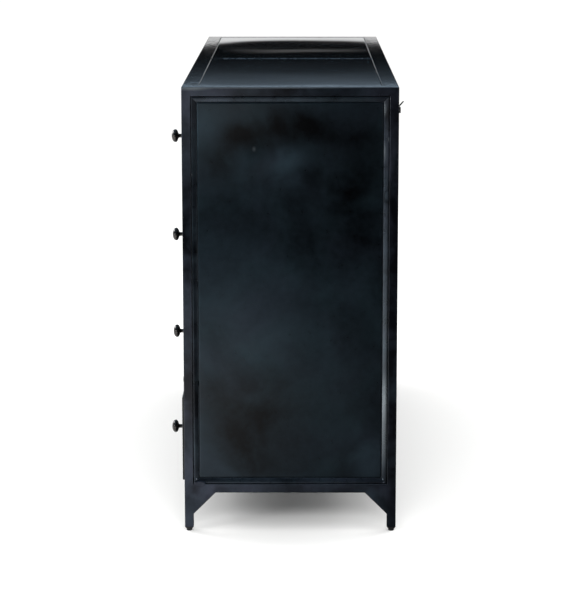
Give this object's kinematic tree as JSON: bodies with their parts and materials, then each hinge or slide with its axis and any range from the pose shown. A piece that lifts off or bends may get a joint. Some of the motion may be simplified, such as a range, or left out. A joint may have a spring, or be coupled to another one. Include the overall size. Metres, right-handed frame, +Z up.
{
  "type": "chest of drawers",
  "caption": "Wide chest of drawers in blackened welded steel: tube frame, recessed sheet sides, round knobs, short gusseted legs.",
  "frame": {"origin": "on the floor, at the middle of the bounding box of the whole chest, knobs and wall tie included", "axes": "+X to the right as seen from the front, along the width; +Y from the drawer fronts to the back; +Z up"},
  "size_m": [1.42, 0.502, 0.965],
  "materials": {
    "blackened_steel": "clear-lacquered hot-rolled blue-black steel, uneven satin to gloss",
    "inner_steel": "dark satin sheet steel",
    "dark_bronze": "blackened bronze, polished where it is handled",
    "black_plastic": "moulded black glide",
    "black_nylon": "black nylon"
  },
  "bodies": {
    "case": {"corner_post_front_left": "blackened_steel", "corner_post_front_right": "blackened_steel", "corner_post_back_left": "blackened_steel", "corner_post_back_right": "blackened_steel", "foot_glide_front_left": "black_plastic", "foot_glide_front_right": "black_plastic", "foot_glide_back_left": "black_plastic", "foot_glide_back_right": "black_plastic", "top_frame": "blackened_steel", "top_sheet_left": "blackened_steel", "top_sheet_right": "blackened_steel", "top_batten": "inner_steel", "base_frame": "blackened_steel", "bottom_panel": "inner_steel", "face_rail_1": "blackened_steel", "face_rail_2": "blackened_steel", "face_rail_3": "blackened_steel", "centre_divider": "inner_steel", "runner_frame_left": "inner_steel", "runner_frame_right": "inner_steel", "side_panel_left": "blackened_steel", "side_panel_right": "blackened_steel", "side_bead_left": "blackened_steel", "side_bead_right": "blackened_steel", "back_panel": "blackened_steel", "tie_bracket": "black_nylon", "wall_tie": "black_nylon"},
    "drawer_1_left": {"drawer_front_1_left": "blackened_steel", "drawer_box_1_left": "inner_steel", "knob_1_left_outer": "dark_bronze", "knob_1_left_inner": "dark_bronze"},
    "drawer_1_right": {"drawer_front_1_right": "blackened_steel", "drawer_box_1_right": "inner_steel", "knob_1_right_outer": "dark_bronze", "knob_1_right_inner": "dark_bronze"},
    "drawer_2_left": {"drawer_front_2_left": "blackened_steel", "drawer_box_2_left": "inner_steel", "knob_2_left_outer": "dark_bronze", "knob_2_left_inner": "dark_bronze"},
    "drawer_2_right": {"drawer_front_2_right": "blackened_steel", "drawer_box_2_right": "inner_steel", "knob_2_right_outer": "dark_bronze", "knob_2_right_inner": "dark_bronze"},
    "drawer_3_left": {"drawer_front_3_left": "blackened_steel", "drawer_box_3_left": "inner_steel", "knob_3_left_outer": "dark_bronze", "knob_3_left_inner": "dark_bronze"},
    "drawer_3_right": {"drawer_front_3_right": "blackened_steel", "drawer_box_3_right": "inner_steel", "knob_3_right_outer": "dark_bronze", "knob_3_right_inner": "dark_bronze"},
    "drawer_4_left": {"drawer_front_4_left": "blackened_steel", "drawer_box_4_left": "inner_steel", "knob_4_left_outer": "dark_bronze", "knob_4_left_inner": "dark_bronze"},
    "drawer_4_right": {"drawer_front_4_right": "blackened_steel", "drawer_box_4_right": "inner_steel", "knob_4_right_outer": "dark_bronze", "knob_4_right_inner": "dark_bronze"}
  },
  "joints": [
    {"name": "slide_1_left", "type": "slide", "parent": "case", "child": "drawer_1_left", "axis": [0, -1, 0], "range_m": [0, 0.3]},
    {"name": "slide_1_right", "type": "slide", "parent": "case", "child": "drawer_1_right", "axis": [0, -1, 0], "range_m": [0, 0.3]},
    {"name": "slide_2_left", "type": "slide", "parent": "case", "child": "drawer_2_left", "axis": [0, -1, 0], "range_m": [0, 0.3]},
    {"name": "slide_2_right", "type": "slide", "parent": "case", "child": "drawer_2_right", "axis": [0, -1, 0], "range_m": [0, 0.3]},
    {"name": "slide_3_left", "type": "slide", "parent": "case", "child": "drawer_3_left", "axis": [0, -1, 0], "range_m": [0, 0.3]},
    {"name": "slide_3_right", "type": "slide", "parent": "case", "child": "drawer_3_right", "axis": [0, -1, 0], "range_m": [0, 0.3]},
    {"name": "slide_4_left", "type": "slide", "parent": "case", "child": "drawer_4_left", "axis": [0, -1, 0], "range_m": [0, 0.3]},
    {"name": "slide_4_right", "type": "slide", "parent": "case", "child": "drawer_4_right", "axis": [0, -1, 0], "range_m": [-0.005, 0.295]}
  ]
}
